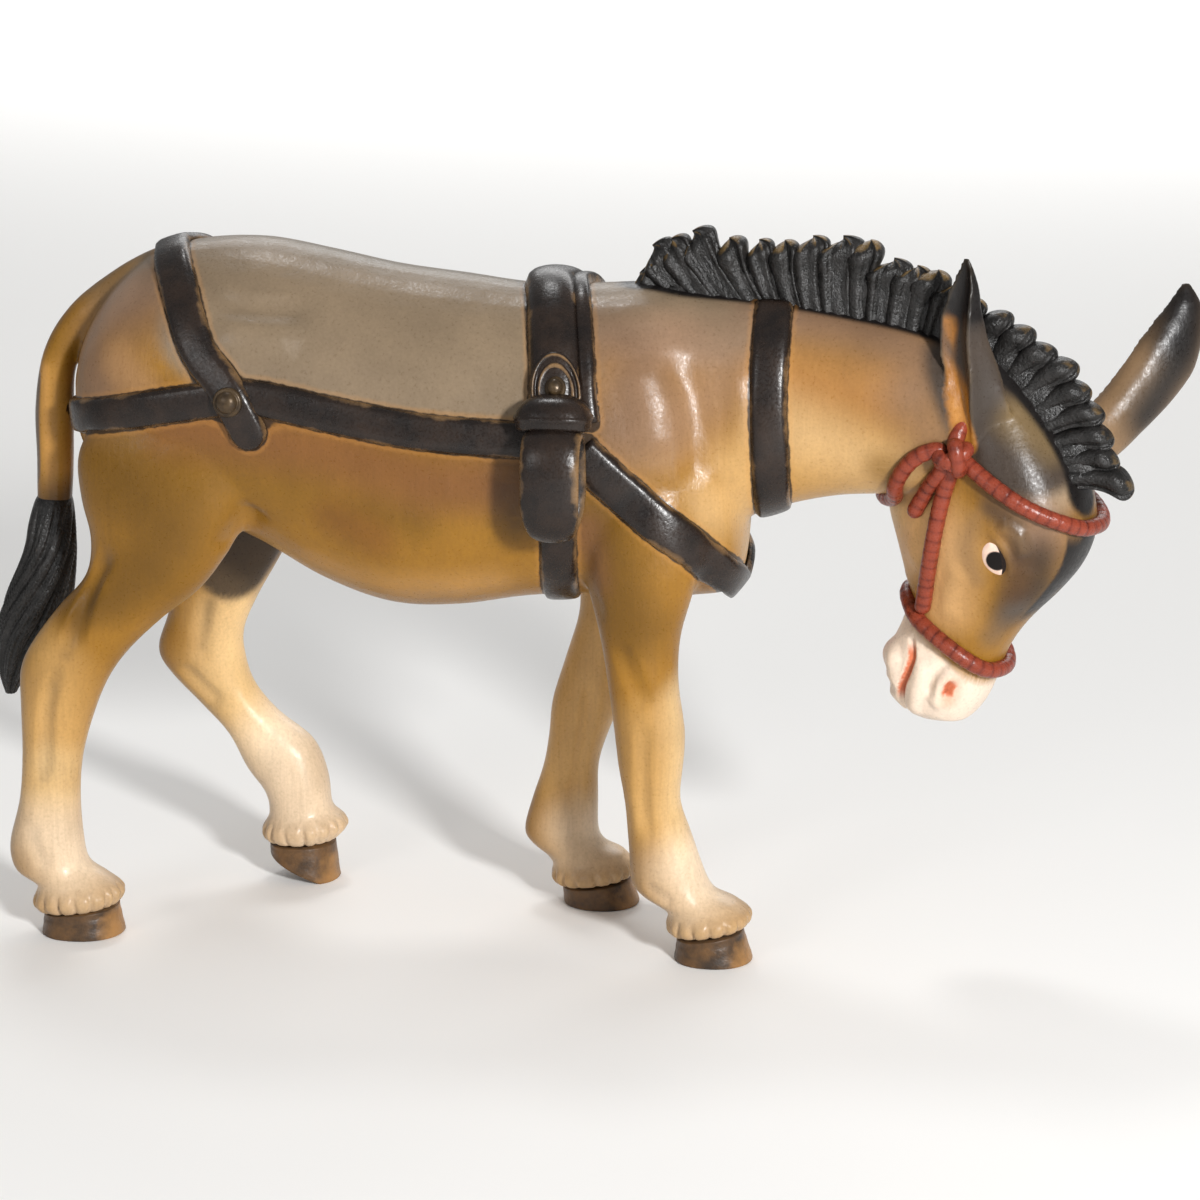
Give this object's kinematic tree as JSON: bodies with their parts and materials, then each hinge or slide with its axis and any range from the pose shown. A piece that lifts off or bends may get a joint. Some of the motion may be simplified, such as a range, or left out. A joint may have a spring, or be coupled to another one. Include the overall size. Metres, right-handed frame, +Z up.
{
  "type": "wooden donkey figurine",
  "caption": "Carved and painted wooden donkey figurine in cart harness and rope halter, head lowered, standing in mid-step on its four hooves.",
  "frame": {"origin": "centre of the bounding box, at the level of the floor under the hooves", "axes": "+X towards the head, +Y to the animal's left, +Z up"},
  "size_m": [0.179, 0.0558, 0.1053],
  "materials": {
    "painted_coat": "maple under transparent stain, cream on the belly and lower legs, ochre brown on the flanks, grey brown along the back, pinkish white on the muzzle, satin varnish",
    "grey_brown_stain": "grey brown stain under satin varnish",
    "black_stain": "charcoal stain with ochre dry-brushed ridges, satin varnish",
    "eye_lacquer": "pinkish white with a glossy black pupil",
    "hoof_stain": "dark brown grey stain, worn pale at the toe",
    "strap_paint": "brown black paint that stands for leather, rubbed to ochre at the edges",
    "rivet_paint": "brass-coloured paint",
    "rope_paint": "red brown paint on carved strands, satin varnish"
  },
  "bodies": {
    "root": {"backband": "strap_paint", "backband_narrow": "strap_paint", "breast_strap": "strap_paint", "breeching": "strap_paint", "browband": "rope_paint", "cheekpiece_left": "rope_paint", "cheekpiece_right": "rope_paint", "ear_left": "grey_brown_stain", "ear_right": "grey_brown_stain", "eye_left": "eye_lacquer", "eye_right": "eye_lacquer", "forelock": "black_stain", "girth": "strap_paint", "head": "painted_coat", "hip_rivet_left": "rivet_paint", "hip_rivet_right": "rivet_paint", "hip_strap": "strap_paint", "hoof_fore_left": "hoof_stain", "hoof_fore_right": "hoof_stain", "hoof_hind_left": "hoof_stain", "hoof_hind_right": "hoof_stain", "knot_left": "rope_paint", "knot_right": "rope_paint", "leg_fore_left": "painted_coat", "leg_fore_right": "painted_coat", "leg_hind_left": "painted_coat", "leg_hind_right": "painted_coat", "loose_end_left": "rope_paint", "loose_end_right": "rope_paint", "mane": "black_stain", "neck": "painted_coat", "neck_strap": "strap_paint", "noseband": "rope_paint", "tab_stud_left": "rivet_paint", "tab_stud_right": "rivet_paint", "tail_dock": "grey_brown_stain", "tail_tassel": "black_stain", "throatlatch": "rope_paint", "trunk": "painted_coat", "tug_collar_left": "strap_paint", "tug_collar_right": "strap_paint", "tug_left": "strap_paint", "tug_right": "strap_paint", "tug_tab_left": "strap_paint", "tug_tab_right": "strap_paint"}
  },
  "joints": []
}
